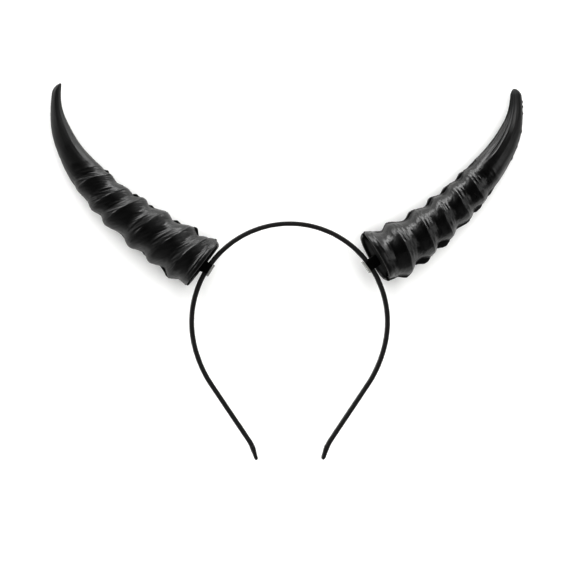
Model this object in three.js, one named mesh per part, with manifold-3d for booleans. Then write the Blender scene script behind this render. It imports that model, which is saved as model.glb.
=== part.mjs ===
// Ram horns headband: two hollow ringed horns on a ribbon-covered hair band, lying on its back.
// Millimetres and degrees. X runs to the right, Y from the band's open ends to its crest,
// Z up to the front. The band's course is drawn round the centre of its crown.

import * as THREE from 'three';
import { mergeVertices } from 'three/addons/utils/BufferGeometryUtils.js';
import Module from 'manifold-3d';

const wasm = await Module();
wasm.setup();

// Gap kept between neighbouring pieces
const clearance = 0.3;

// Hair band: a round crown, a flatter side, a straight arm and an end that turns out a little
const band = {
  crownRadius: 62,
  crownSweep: 100,
  sideRadius: 75,
  sideSweep: 24,
  armLength: 41.5,
  endRadius: 26,
  endSweep: 16,
  endLength: 6.5,
  thickness: 2.8,
  width: 6,
  cornerRadius: 1.1,
  stepLength: 6,
};

// Ribbon turned over each end of the band
const fold = {
  length: 9,
  thickness: 0.25,
  edge: 0.5,
};

// Rounded tip of the band: each row is one section, counted back from the end
const bandTip = [
  { back: 0, size: 0.45 },
  { back: 0.18, size: 0.8 },
  { back: 0.55, size: 1 },
];
const bandTipLength = 3;

// Saddle that carries each horn, and the plate across its mouth
const block = { length: 6.3, depth: 10 };
const plate = { length: 8.2, thickness: 1.1, depth: 8 };

// Horn shell
const wall = 1.4;
const seamGap = clearance;
const hornDepth = 0.95;
const leastHalfDepth = 0.05;

// Each horn: where it sits on the crown, its heading at the base, how far it leans to the back,
// its length along the middle, its base, and how its tip is rounded.
// Its sections say how far it has turned and how wide it is between rings, as a share of the base.
const leftHorn = {
  seatAngle: 147.1,
  heading: 147.8,
  lean: 4.3,
  standOff: 2.6,
  length: 155,
  baseDiameter: 34.6,
  tipRound: 4,
  tipSkew: 0.7,
  turnedOver: true,
  sections: [
    { along: 0, turn: 0, width: 0.885 },
    { along: 0.1, turn: 1, width: 0.81 },
    { along: 0.2, turn: 2.5, width: 0.765 },
    { along: 0.3, turn: 4, width: 0.715 },
    { along: 0.4, turn: 7.5, width: 0.64 },
    { along: 0.5, turn: 13, width: 0.585 },
    { along: 0.6, turn: 19, width: 0.53 },
    { along: 0.7, turn: 27.5, width: 0.435 },
    { along: 0.8, turn: 39, width: 0.33 },
    { along: 0.9, turn: 53.5, width: 0.185 },
    { along: 1, turn: 69, width: 0.115 },
  ],
};

const rightHorn = {
  seatAngle: 35.4,
  heading: 27.5,
  lean: 4.3,
  standOff: 4.6,
  length: 148.8,
  baseDiameter: 34.6,
  tipRound: 4.5,
  tipSkew: 0.2,
  turnedOver: false,
  sections: [
    { along: 0, turn: 0, width: 0.9 },
    { along: 0.1, turn: 2, width: 0.835 },
    { along: 0.2, turn: 7, width: 0.745 },
    { along: 0.3, turn: 12, width: 0.69 },
    { along: 0.4, turn: 15, width: 0.63 },
    { along: 0.5, turn: 18.5, width: 0.6 },
    { along: 0.6, turn: 22.5, width: 0.545 },
    { along: 0.7, turn: 28, width: 0.49 },
    { along: 0.8, turn: 39.5, width: 0.4 },
    { along: 0.9, turn: 56, width: 0.265 },
    { along: 1, turn: 66, width: 0.18 },
  ],
};

// The two mouldings that every horn is made of. Each row is one raised ring: where its crest lies
// on the inside and on the outside of the bend, how far its middle bows to the tip, as shares of
// the horn's length, and its rise there as shares of the base radius. The first row is the rim.
const mouldings = {
  first: [
    { inside: 0, outside: 0, bow: 0, riseInside: 0.265, riseOutside: 0.03 },
    { inside: 0.11, outside: 0.092, bow: 0.016, riseInside: 0.19, riseOutside: 0.2 },
    { inside: 0.256, outside: 0.216, bow: -0.004, riseInside: 0.14, riseOutside: 0.15 },
    { inside: 0.364, outside: 0.318, bow: -0.008, riseInside: 0.13, riseOutside: 0.14 },
    { inside: 0.457, outside: 0.425, bow: -0.011, riseInside: 0.115, riseOutside: 0.12 },
    { inside: 0.55, outside: 0.515, bow: -0.01, riseInside: 0.09, riseOutside: 0.09 },
    { inside: 0.632, outside: 0.612, bow: 0.004, riseInside: 0.04, riseOutside: 0.03 },
  ],
  second: [
    { inside: 0, outside: 0, bow: 0, riseInside: 0.205, riseOutside: 0.04 },
    { inside: 0.03, outside: 0.085, bow: 0.02, riseInside: 0.135, riseOutside: 0.18 },
    { inside: 0.114, outside: 0.183, bow: 0.02, riseInside: 0.185, riseOutside: 0.17 },
    { inside: 0.237, outside: 0.282, bow: 0.02, riseInside: 0.165, riseOutside: 0.19 },
    { inside: 0.347, outside: 0.407, bow: 0.018, riseInside: 0.155, riseOutside: 0.17 },
    { inside: 0.427, outside: 0.481, bow: 0.018, riseInside: 0.105, riseOutside: 0.12 },
    { inside: 0.523, outside: 0.568, bow: 0.022, riseInside: 0.095, riseOutside: 0.06 },
    { inside: 0.58, outside: 0.625, bow: 0.018, riseInside: 0.03, riseOutside: 0.03 },
  ],
};

// How much larger or smaller than the horn's section each moulding is, on the inside and the outside
const extraSize = {
  first: { inside: -1.1, outside: 0 },
  second: { inside: 0.1, outside: 0.5 },
};

// The hollow between two rings, as a share of the way from one crest to the next, on the inside and
// on the outside of the bend, and the least reach of a ring's slope, as a share of the horn's length
const hollowInside = 0.62;
const hollowOutside = 0.38;
const leastSlope = 0.04;
const lastRingFade = 0.3;

// Mesh fineness
const arcSteps = 10;
const ringSteps = 5;
const tipSteps = 9;
const courseSteps = 120;

const radians = THREE.MathUtils.degToRad;
const mix = THREE.MathUtils.lerp;

// Colours and finishes
const hornPlastic = { color: 0x1c1c1e, roughness: 0.38, metalness: 0 };
const ribbonSatin = { color: 0x19191b, roughness: 0.5, metalness: 0 };
const blockFoam = { color: 0x0b0b0b, roughness: 0.9, metalness: 0 };
const clearPlastic = { color: 0xa9a9a4, roughness: 0.3, metalness: 0 };

// A mesh with its faces turned outwards
function solidGeometry(points, indices) {
  const positions = new Float32Array(points.flatMap((p) => [p.x, p.y, p.z]));
  let volume = 0;
  for (let i = 0; i < indices.length; i += 3) {
    const [a, b, c] = [points[indices[i]], points[indices[i + 1]], points[indices[i + 2]]];
    volume += a.dot(new THREE.Vector3().crossVectors(b, c));
  }
  const faces = volume < 0 ? indices.slice().reverse() : indices;
  const geometry = new THREE.BufferGeometry();
  geometry.setAttribute('position', new THREE.BufferAttribute(positions, 3));
  geometry.setIndex(faces);
  geometry.computeVertexNormals();
  return geometry;
}

// Triangles of a strip of quads between two runs of points, given by their first indices
function stripFaces(first, second, count) {
  const faces = [];
  for (let j = 0; j < count - 1; j++) {
    faces.push(first + j, first + j + 1, second + j + 1);
    faces.push(first + j, second + j + 1, second + j);
  }
  return faces;
}

// Triangles of a flat convex cap over a run of points
function fanFaces(first, count) {
  const faces = [];
  for (let j = 1; j < count - 1; j++) faces.push(first, first + j, first + j + 1);
  return faces;
}

// A closed solid through equal loops of points, capped at both ends
function loft(loops) {
  const count = loops[0].length;
  const points = loops.flat();
  const faces = [...fanFaces(0, count).reverse(), ...fanFaces((loops.length - 1) * count, count)];
  for (let i = 0; i < loops.length - 1; i++) {
    const [here, next] = [i * count, (i + 1) * count];
    faces.push(...stripFaces(here, next, count));
    faces.push(here + count - 1, here, next);
    faces.push(here + count - 1, next, next + count - 1);
  }
  return solidGeometry(points, faces);
}

// A geometry as a solid that can be joined and cut
function asManifold(geometry, matrix) {
  const plain = new THREE.BufferGeometry();
  plain.setAttribute('position', geometry.getAttribute('position').clone());
  if (geometry.index) plain.setIndex(geometry.index);
  if (matrix) plain.applyMatrix4(matrix);
  const merged = mergeVertices(plain, 1e-5);
  return new wasm.Manifold(new wasm.Mesh({
    numProp: 3,
    vertProperties: new Float32Array(merged.getAttribute('position').array),
    triVerts: new Uint32Array(merged.index.array),
  }));
}

// The solid's mesh, ready to be shown
function asGeometry(solid) {
  const mesh = solid.getMesh();
  const geometry = new THREE.BufferGeometry();
  const positions = new Float32Array(mesh.vertProperties);
  geometry.setAttribute('position', new THREE.BufferAttribute(positions, 3));
  geometry.setIndex([...mesh.triVerts]);
  geometry.computeVertexNormals();
  return geometry;
}

function namedMesh(name, geometry, finish) {
  const mesh = new THREE.Mesh(geometry, new THREE.MeshStandardMaterial(finish));
  mesh.name = name;
  return mesh;
}

// The band's stretches from the crest down one side: a bend is an arc, and the last turns back out
const bandStretches = [
  { length: band.crownRadius * radians(band.crownSweep), turn: radians(band.crownSweep) },
  { length: band.sideRadius * radians(band.sideSweep), turn: radians(band.sideSweep) },
  { length: band.armLength, turn: 0 },
  { length: band.endRadius * radians(band.endSweep), turn: -radians(band.endSweep) },
  { length: band.endLength, turn: 0 },
];
const bandHalfLength = bandStretches.reduce((sum, stretch) => sum + stretch.length, 0);

// Point of the band's middle line and its outward direction, a distance down the right side
function bandCourse(distance) {
  let [x, y, heading, left] = [0, band.crownRadius, 0, distance];
  for (const stretch of bandStretches) {
    const part = Math.min(left, stretch.length);
    const turn = stretch.turn * part / stretch.length;
    const chord = turn === 0 ? part : part * Math.sin(turn / 2) / (turn / 2);
    x += chord * Math.cos(heading - turn / 2);
    y += chord * Math.sin(heading - turn / 2);
    heading -= turn;
    left -= part;
    if (left <= 0) break;
  }
  return { x, y, outX: -Math.sin(heading), outY: Math.cos(heading) };
}

// Section of the band, a rounded oblong: across is outwards from the head, and width runs along Z
function bandSection(thickness, width, corner) {
  const points = [];
  const quarter = [0, 45, 90];
  for (const [side, face, start] of [[1, 1, 0], [-1, 1, 90], [-1, -1, 180], [1, -1, 270]]) {
    for (const step of quarter) {
      const angle = radians(start + step);
      points.push({
        across: side * (thickness / 2 - corner) + corner * Math.cos(angle),
        up: face * (width / 2 - corner) + corner * Math.sin(angle),
      });
    }
  }
  return points;
}

// Where the band's sections lie, from the crest to one end, and how thick and full each one is
function bandStations() {
  const plainLength = bandHalfLength - fold.length - fold.edge;
  const steps = Math.round(plainLength / band.stepLength);
  const stations = [];
  for (let i = 0; i <= steps; i++) {
    stations.push({ distance: plainLength * i / steps, extra: 0, size: 1 });
  }
  stations.push({ distance: bandHalfLength - fold.length, extra: fold.thickness, size: 1 });
  for (const row of [...bandTip].reverse()) {
    stations.push({
      distance: bandHalfLength - row.back * bandTipLength,
      extra: fold.thickness,
      size: row.size,
    });
  }
  return stations;
}

// The whole band, grown on every side by a margin when it is used to cut a slot
function bandGeometry(margin = 0) {
  const loops = [];
  const half = bandStations();
  const stations = [
    ...half.slice(1).reverse().map((station) => ({ ...station, side: -1 })),
    ...half.map((station) => ({ ...station, side: 1 })),
  ];
  for (const { distance, extra, size, side } of stations) {
    const at = bandCourse(distance);
    const thickness = (band.thickness + 2 * extra) * size + 2 * margin;
    const width = (band.width + 2 * extra) * size + 2 * margin;
    const corner = band.cornerRadius * size + margin;
    loops.push(bandSection(thickness, width, corner).map(({ across, up }) => new THREE.Vector3(
      side * (at.x + at.outX * across), at.y + at.outY * across, up)));
  }
  return loft(loops);
}

// Value of a table's column at a place along it, on a smooth curve through its rows
function smoothColumn(rows, column, along) {
  let i = 0;
  while (i < rows.length - 2 && along > rows[i + 1].along) i++;
  const [a, b] = [rows[i], rows[i + 1]];
  const [before, after] = [rows[Math.max(i - 1, 0)], rows[Math.min(i + 2, rows.length - 1)]];
  const span = b.along - a.along;
  const t = (along - a.along) / span;
  const slopeA = (b[column] - before[column]) / (b.along - before.along) * span;
  const slopeB = (after[column] - a[column]) / (after.along - a.along) * span;
  return a[column] * (2 * t ** 3 - 3 * t ** 2 + 1) + slopeA * (t ** 3 - 2 * t ** 2 + t)
    + b[column] * (3 * t ** 2 - 2 * t ** 3) + slopeB * (t ** 3 - t ** 2);
}

// The horn's middle line from its base, turning to the inside of the bend (+Y)
function hornCourse(horn) {
  const points = [{ x: 0, y: 0, turn: 0 }];
  for (let i = 1; i <= courseSteps; i++) {
    const turn = radians(smoothColumn(horn.sections, 'turn', i / courseSteps));
    const last = points[i - 1];
    const middle = (turn + last.turn) / 2;
    const step = horn.length / courseSteps;
    points.push({ x: last.x + step * Math.cos(middle), y: last.y + step * Math.sin(middle), turn });
  }
  return (along) => {
    const place = THREE.MathUtils.clamp(along, 0, 1) * courseSteps;
    const i = Math.min(Math.floor(place), courseSteps - 1);
    const [a, b, t] = [points[i], points[i + 1], place - i];
    return { x: mix(a.x, b.x, t), y: mix(a.y, b.y, t), turn: mix(a.turn, b.turn, t) };
  };
}

// Rows of a moulding from base to tip: each is a ring's crest or a line part of the way to the next one
function mouldingRows(rings) {
  const rows = [];
  for (let i = 0; i < rings.length - 1; i++) {
    for (let step = 0; step < ringSteps; step++) {
      rows.push({ ring: rings[i], next: rings[i + 1], part: step / ringSteps });
    }
  }
  const last = rings[rings.length - 1];
  for (let step = 0; step <= tipSteps; step++) {
    rows.push({ ring: last, next: null, part: Math.sin(radians(90) * step / tipSteps) });
  }
  return rows;
}

// Place along the horn and rise above its core of one row, at an angle round the half section:
// 0 is the inside of the bend, 90 the middle of the half and 180 the outside
function ringShape({ ring, next, part }, angle) {
  const outside = (1 - Math.cos(angle)) / 2;
  const crest = (r) => mix(r.inside, r.outside, outside) + r.bow * Math.sin(angle);
  const rise = (r) => mix(r.riseInside, r.riseOutside, outside);
  const hollow = mix(hollowInside, hollowOutside, outside);
  const swell = (share) => (1 + Math.cos(Math.PI * Math.min(share, 1))) / 2;
  if (!next) return { along: mix(crest(ring), 1, part), rise: rise(ring) * swell(part / lastRingFade) };
  const apart = crest(next) - crest(ring);
  const before = rise(ring) * swell(part * apart / Math.max(hollow * apart, leastSlope));
  const after = rise(next) * swell((1 - part) * apart / Math.max((1 - hollow) * apart, leastSlope));
  return { along: mix(crest(ring), crest(next), part), rise: Math.max(before, after) };
}

// One half of a horn, hollow, with half an end wall at the base and a solid tip.
// side is 1 for the half above the seam and -1 for the half below it.
function hornHalf(horn, rings, side, extra) {
  const course = hornCourse(horn);
  const baseRadius = horn.baseDiameter / 2;
  const wallShare = wall / horn.length;
  const roundShare = horn.tipRound / horn.length;

  const sectionPoint = (along, rise, angle, inset) => {
    const at = course(along);
    const core = baseRadius * smoothColumn(horn.sections, 'width', along);
    const full = core + baseRadius * rise + mix(extra.inside, extra.outside, (1 - Math.cos(angle)) / 2);
    const roundPart = Math.max(0, (along - 1 + roundShare) / roundShare);
    const kept = Math.sqrt(Math.max(1 - roundPart ** 2, 0.01));
    const across = full * kept * Math.cos(angle) + horn.tipSkew * full * (1 - kept);
    const inward = across - inset * Math.cos(angle);
    const halfDepth = Math.max(full * kept * hornDepth - seamGap / 2 - inset, leastHalfDepth);
    const depth = halfDepth * Math.sin(angle);
    return new THREE.Vector3(
      at.x - Math.sin(at.turn) * inward,
      at.y + Math.cos(at.turn) * inward,
      side * (seamGap / 2 + depth),
    );
  };
  const arc = (pointAt) => Array.from(
    { length: arcSteps + 1 },
    (_, j) => pointAt(Math.PI * j / arcSteps),
  );

  const rows = mouldingRows(rings);
  const outer = rows.map((row) => arc((angle) => {
    const { along, rise } = ringShape(row, angle);
    return sectionPoint(along, rise, angle, 0);
  }));
  const thickEnough = (row) => {
    const { along } = ringShape(row, Math.PI / 2);
    const core = baseRadius * smoothColumn(horn.sections, 'width', along);
    return core > 2.2 * wall && along < 1 - 2 * roundShare;
  };
  const pastWall = (row) => [0, Math.PI / 2, Math.PI].every(
    (angle) => ringShape(row, angle).along - ringShape(rows[0], angle).along > 1.3 * wallShare,
  );
  const hollowRows = rows.filter((row) => pastWall(row) && thickEnough(row));
  const inner = [
    arc((angle) => {
      const { along, rise } = ringShape(rows[0], angle);
      return sectionPoint(along + wallShare, rise, angle, wall);
    }),
    ...hollowRows.map((row) => arc((angle) => {
      const { along, rise } = ringShape(row, angle);
      return sectionPoint(along, rise, angle, wall);
    })),
  ];

  const count = arcSteps + 1;
  const points = [...outer.flat(), ...inner.flat()];
  const innerStart = outer.length * count;
  const faces = [];
  for (let i = 0; i < outer.length - 1; i++) {
    faces.push(...stripFaces(i * count, (i + 1) * count, count));
  }
  faces.push(...fanFaces(0, count).reverse(), ...fanFaces((outer.length - 1) * count, count));
  const inside = [];
  for (let i = 0; i < inner.length - 1; i++) {
    inside.push(...stripFaces(innerStart + i * count, innerStart + (i + 1) * count, count));
  }
  inside.push(...fanFaces(innerStart, count).reverse());
  inside.push(...fanFaces(innerStart + (inner.length - 1) * count, count));
  faces.push(...inside.reverse());
  faces.push(...seamFaces(points, outer.length, inner.length, count));
  return solidGeometry(points, faces);
}

// Triangles between two runs of points that lie side by side, always taking the shorter step
function zipFaces(points, first, second) {
  const faces = [];
  let [i, j] = [0, 0];
  const apart = (a, b) => points[a].distanceTo(points[b]);
  while (i < first.length - 1 || j < second.length - 1) {
    const firstMoves = j === second.length - 1
      || (i < first.length - 1 && apart(first[i + 1], second[j]) <= apart(first[i], second[j + 1]));
    if (firstMoves) faces.push(first[i], first[++i], second[j]);
    else faces.push(first[i], second[j + 1], second[j++]);
  }
  return faces;
}

// The flat rim on the seam, between the outline of the half and its hollow
function seamFaces(points, outerRows, innerRows, count) {
  const column = (start, rows, j) => Array.from({ length: rows }, (_, i) => start + i * count + j);
  const innerStart = outerRows * count;
  const [outerA, outerB] = [column(0, outerRows, 0), column(0, outerRows, count - 1)];
  const [innerA, innerB] = [column(innerStart, innerRows, 0), column(innerStart, innerRows, count - 1)];
  const [outerEndA, outerEndB, innerEndA, innerEndB] = [outerA, outerB, innerA, innerB]
    .map((run) => run[run.length - 1]);
  return [
    ...zipFaces(points, outerA, innerA),
    ...zipFaces(points, outerB, innerB).reverse(),
    outerB[0], outerA[0], innerA[0], outerB[0], innerA[0], innerB[0],
    innerEndA, outerEndA, outerEndB, innerEndA, outerEndB, innerEndB,
  ];
}

// Frame of a horn's base, from the middle of its end wall: X along its heading, Y to the inside
// of the bend
function hornFrame(horn) {
  const seat = radians(horn.seatAngle);
  const reach = band.crownRadius + band.thickness / 2 + horn.standOff;
  const frame = new THREE.Matrix4().makeTranslation(reach * Math.cos(seat), reach * Math.sin(seat), 0);
  frame.multiply(new THREE.Matrix4().makeRotationZ(radians(horn.heading)));
  frame.multiply(new THREE.Matrix4().makeRotationY(radians(horn.lean)));
  if (horn.turnedOver) frame.multiply(new THREE.Matrix4().makeRotationX(Math.PI));
  return frame;
}

// Frame of a horn's seat on the band: X outwards, Y along the band, origin on the band's middle line
function seatFrame(horn) {
  const seat = radians(horn.seatAngle);
  const frame = new THREE.Matrix4().makeRotationZ(seat);
  frame.setPosition(band.crownRadius * Math.cos(seat), band.crownRadius * Math.sin(seat), 0);
  return frame;
}

function hornGroup(side, horn) {
  const group = new THREE.Group();
  group.applyMatrix4(hornFrame(horn));
  const halves = {
    1: hornHalf(horn, mouldings.first, 1, extraSize.first),
    [-1]: hornHalf(horn, mouldings.second, -1, extraSize.second),
  };
  const front = horn.turnedOver ? -1 : 1;
  group.add(namedMesh(`${side}_horn_front_shell`, halves[front], hornPlastic));
  group.add(namedMesh(`${side}_horn_back_shell`, halves[-front], hornPlastic));
  return group;
}

// Saddle from the band's inner face to just short of the horn's end wall, with a slot for the band
function mountBlock(horn) {
  const reach = horn.standOff + horn.baseDiameter;
  const body = new THREE.BoxGeometry(band.thickness + reach, block.length, block.depth);
  body.translate(reach / 2, 0, 0);
  const behindBase = new THREE.BoxGeometry(2 * reach, 2 * horn.baseDiameter, 2 * horn.baseDiameter);
  behindBase.translate(-reach - clearance, 0, 0);
  return asGeometry(asManifold(body, seatFrame(horn))
    .intersect(asManifold(behindBase, hornFrame(horn)))
    .subtract(asManifold(bandGeometry(clearance))));
}

// Plate just inside the band, clear of the band's bend at the plate's ends
function retainingPlate(horn) {
  const innerRadius = band.crownRadius - band.thickness / 2;
  const bend = innerRadius - Math.sqrt(innerRadius ** 2 - (plate.length / 2) ** 2);
  const geometry = new THREE.BoxGeometry(plate.thickness, plate.length, plate.depth);
  geometry.translate(-band.thickness / 2 - clearance - bend - plate.thickness / 2, 0, 0);
  return geometry.applyMatrix4(seatFrame(horn));
}

const model = new THREE.Group();
model.add(namedMesh('headband', bandGeometry(), ribbonSatin));
for (const [side, horn] of [['left', leftHorn], ['right', rightHorn]]) {
  model.add(hornGroup(side, horn));
  model.add(namedMesh(`${side}_mount_block`, mountBlock(horn), blockFoam));
  model.add(namedMesh(`${side}_retaining_plate`, retainingPlate(horn), clearPlastic));
}

// The origin goes below the middle of the whole, on the surface that it lies on
const box = new THREE.Box3().setFromObject(model, true);
const middle = box.getCenter(new THREE.Vector3());
model.position.set(-middle.x, -middle.y, -box.min.z);

const headbandWithHorns = new THREE.Group();
headbandWithHorns.add(model);

export default headbandWithHorns;
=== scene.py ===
"""Ram horns headband: moulded horn shells, ribbon-covered band, mounting blocks and clear plates."""

import math

import bmesh
import bpy
import numpy as np
from bpy.props import FloatProperty, FloatVectorProperty, PointerProperty
from bpy.types import Operator, Panel, PropertyGroup
from mathutils import Matrix, Vector


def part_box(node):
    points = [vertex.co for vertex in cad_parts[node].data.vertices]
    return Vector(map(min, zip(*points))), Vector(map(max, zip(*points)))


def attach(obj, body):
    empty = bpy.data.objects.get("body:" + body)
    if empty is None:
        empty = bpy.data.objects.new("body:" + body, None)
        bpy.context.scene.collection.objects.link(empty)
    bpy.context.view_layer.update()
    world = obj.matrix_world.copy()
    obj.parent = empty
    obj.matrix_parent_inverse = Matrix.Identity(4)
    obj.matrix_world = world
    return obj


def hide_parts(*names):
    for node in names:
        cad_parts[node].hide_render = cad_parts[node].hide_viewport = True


bl_info = {
    "name": "Ram Horns Headband",
    "version": (1, 0, 0),
    "blender": (4, 5, 0),
    "location": "3D View > Sidebar > Horns",
    "description": "Dresses a hair band with two ringed horns: shells, ribbon, blocks and plates",
    "category": "Add Mesh",
}

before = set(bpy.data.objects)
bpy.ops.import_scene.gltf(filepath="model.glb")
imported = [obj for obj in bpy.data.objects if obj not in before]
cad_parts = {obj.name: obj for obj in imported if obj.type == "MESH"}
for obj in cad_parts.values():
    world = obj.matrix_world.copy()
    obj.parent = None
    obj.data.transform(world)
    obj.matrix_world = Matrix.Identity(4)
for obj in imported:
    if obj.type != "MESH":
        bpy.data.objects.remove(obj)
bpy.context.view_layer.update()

MM = 0.001

# The band's course, in mm and degrees, as the solids have it: crown, side, arm and end
CROWN_RADIUS = 62.0
CROWN_SWEEP = 100.0
SIDE_RADIUS = 75.0
SIDE_SWEEP = 24.0
ARM_LENGTH = 41.5
END_RADIUS = 26.0
END_SWEEP = 16.0
END_LENGTH = 6.5
BAND_THICKNESS = 2.8
BAND_WIDTH = 6.0
FOLD_LENGTH = 9.0
FOLD_THICKNESS = 0.25

CLEARANCE = 0.3
HORN_DEPTH = 0.95

SECTION = [(name, float) for name in ("along", "turn", "width")]
SPECK = [(name, float) for name in ("along", "turn", "height", "breadth")]
RING = [(name, float) for name in ("inside", "outside", "bow", "rise_inside", "rise_outside")]

# Each horn, in mm and degrees: its seat on the crown, its course, its tip, and how its end is cut
# and turned. ridge_shift is how far the tip's ridge lies off the middle. The flash is what juts out
# or is missing on the seam of each half, and a section's width is a share of the base between rings
HORNS = {
    "left": {
        "seat_angle": 147.1,
        "heading": 147.8,
        "lean": 4.3,
        "stand_off": 2.6,
        "length": 155.0,
        "base_diameter": 34.6,
        "tip_round": 7.0,
        "tip_skew": 0.85,
        "corner_recess": 3.2,
        "corner_cut": 1.0,
        "heel_cut": 0.5,
        "ridge_shift": 0.1,
        "end_turn": 5.5,
        "turned_over": True,
        "front_flash": np.array([(0.085, 179, 0.3, 0.8)], SPECK),
        "back_flash": np.array(
            [
                (0.095, 2, 2.2, 2.6),
                (0.185, 2, 2.2, 2.6),
                (0.31, 2, 1.8, 2.0),
                (0.39, 2, 1.8, 2.0),
                (0.55, 2, 1.2, 1.6),
                (0.13, 178, 1.0, 2.4),
                (0.218, 180, -2.0, 4.0),
                (0.32, 180, -1.9, 4.0),
                (0.425, 180, -1.7, 3.5),
                (0.515, 180, -1.3, 3.0),
            ],
            SPECK,
        ),
        "sections": np.array(
            [
                (0, 0, 0.885),
                (0.1, 1, 0.81),
                (0.2, 2.5, 0.765),
                (0.3, 4, 0.715),
                (0.4, 7.5, 0.64),
                (0.5, 13, 0.585),
                (0.6, 19, 0.53),
                (0.7, 27.5, 0.435),
                (0.8, 39, 0.33),
                (0.9, 53.5, 0.185),
                (1, 69, 0.115),
            ],
            SECTION,
        ),
    },
    "right": {
        "seat_angle": 35.4,
        "heading": 27.5,
        "lean": 4.3,
        "stand_off": 4.6,
        "length": 148.8,
        "base_diameter": 34.6,
        "tip_round": 4.5,
        "tip_skew": 0.2,
        "corner_recess": 0.8,
        "corner_cut": 0.3,
        "heel_cut": 1.6,
        "ridge_shift": 0.85,
        "end_turn": 2.5,
        "turned_over": False,
        "front_flash": np.array(
            [
                (0.62, 2, 1.0, 0.8),
                (0.158, 178, -0.9, 3.4),
                (0.262, 178, -0.8, 3.0),
                (0.83, 177, 0.5, 0.7),
                (0.898, 178, 0.5, 0.6),
                (0.925, 176, 0.6, 0.6),
                (0.945, 178, 0.6, 0.6),
            ],
            SPECK,
        ),
        "back_flash": np.array(
            [
                (0.068, 178, 0.9, 3.0),
                (0.168, 178, 1.3, 3.6),
                (0.265, 178, 1.1, 3.2),
                (0.46, 178, 0.8, 2.0),
                (0.55, 178, 0.7, 1.8),
                (0.72, 178, 0.6, 1.2),
                (0.77, 178, 0.5, 1.0),
            ],
            SPECK,
        ),
        "sections": np.array(
            [
                (0, 0, 0.9),
                (0.1, 2, 0.835),
                (0.2, 7, 0.745),
                (0.3, 12, 0.69),
                (0.4, 15, 0.63),
                (0.5, 18.5, 0.6),
                (0.6, 22.5, 0.545),
                (0.7, 28, 0.49),
                (0.8, 39.5, 0.4),
                (0.9, 56, 0.265),
                (1, 66, 0.18),
            ],
            SECTION,
        ),
    },
}

# The rings of the two mouldings: crest on the inside and the outside of the bend, bow to the tip
# in the middle, and rise, as shares of the horn's length and of its base radius
MOULDINGS = {
    "first": np.array(
        [
            (0, 0, 0, 0.265, 0.03),
            (0.11, 0.092, 0.016, 0.19, 0.2),
            (0.256, 0.216, -0.004, 0.14, 0.15),
            (0.364, 0.318, -0.008, 0.13, 0.14),
            (0.457, 0.425, -0.011, 0.115, 0.12),
            (0.55, 0.515, -0.01, 0.09, 0.09),
            (0.632, 0.612, 0.004, 0.04, 0.03),
        ],
        RING,
    ),
    "second": np.array(
        [
            (0, 0, 0, 0.205, 0.04),
            (0.03, 0.085, 0.02, 0.135, 0.18),
            (0.114, 0.183, 0.02, 0.185, 0.17),
            (0.237, 0.282, 0.02, 0.165, 0.19),
            (0.347, 0.407, 0.018, 0.155, 0.17),
            (0.427, 0.481, 0.018, 0.105, 0.12),
            (0.523, 0.568, 0.022, 0.095, 0.06),
            (0.58, 0.625, 0.018, 0.03, 0.03),
        ],
        RING,
    ),
}
# How much larger than the horn's section each moulding is on the inside and the outside, in mm
EXTRA_SIZE = {"first": (-1.1, 0.0), "second": (0.1, 0.5)}
# Where between two crests the hollow lies, the shortest slope beside a crest and how far the last
# ring dies away along the tip, as shares
HOLLOW_INSIDE = 0.62
HOLLOW_OUTSIDE = 0.38
LEAST_SLOPE = 0.04
LAST_RING_FADE = 0.3

# Fineness of the mesh. The columns round a half lie closer together at both seams, in radians
COURSE_STEPS = 120
RING_STEPS = 52
TIP_STEPS = 110
INNER_COLUMNS = 17
NEAR_SEAM = np.array([0, 0.004, 0.012, 0.024, 0.042])
HALF_TURN = np.concatenate(
    [NEAR_SEAM, np.linspace(0.07, math.pi - 0.07, 103), math.pi - NEAR_SEAM[::-1]]
)

# The end of each horn: a wall sunk behind a flat lip, with a step between them, in mm
WALL_SUNK = 0.8
LIP_FLAT = 0.9
STEP_BREADTH = 0.3
STEP_HEIGHT = 0.3
LIP_HOLLOW = 0.12
WALL_ROWS = 7
LIP_ROWS = 7

# How far the end's cuts and its rim's place reach, in radians round the half and mm along the horn
CORNER_TURN = 0.6
CORNER_LENGTH = 13.0
HEEL_TURN = 0.8
HEEL_LENGTH = 5.0
RECESS_TURN = 0.55
RIM_BLEND = 15.0

# Rounding of the seam's edges in mm, and how it grows with each mm that an edge stands out
EDGE_ROUND = 0.3
EDGE_ROUND_GROWTH = 0.45
FLANGE_BREADTH = 0.8

# Places along the horn, as shares: where the tip starts, where its ridges start and where its
# ridge moves off the middle, and where the hollow narrows and ends
TIP_START = 0.56
TIP_RIDGES_START = 0.64
RIDGE_SHIFT_START = 0.76
HOLLOW_NARROWS = 0.76
HOLLOW_ENDS = 0.84

# How a ridge fades in and out, in radians, its two sides' shares of its breadth, with the side
# towards the base the steeper one, and what is left of ridges at the last ring and on back halves
RIDGE_FADE_IN = 0.3
RIDGE_FADE_OUT = 0.5
STEEP_SIDE = 0.7
GENTLE_SIDE = 1.3
LAST_RIDGES = 0.45
BACK_RIDGES = 0.25

# How far the end wall's place in the texture layout lies before the body's, and where along the
# layout the tip's own sheen starts and is full, in mm
END_WALL_SHIFT = 40.0
TIP_SHEEN_START = 98.0
TIP_SHEEN_END = 122.0

RIDGE = [(name, float) for name in ("offset", "height", "breadth", "from_angle", "to_angle")]
TIP_RIDGE = [(name, float) for name in ("turn", "height")]
LAYER = [(name, float) for name in ("share", "cell_along", "cell_round", "on_body", "on_tip", "seed")]

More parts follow.
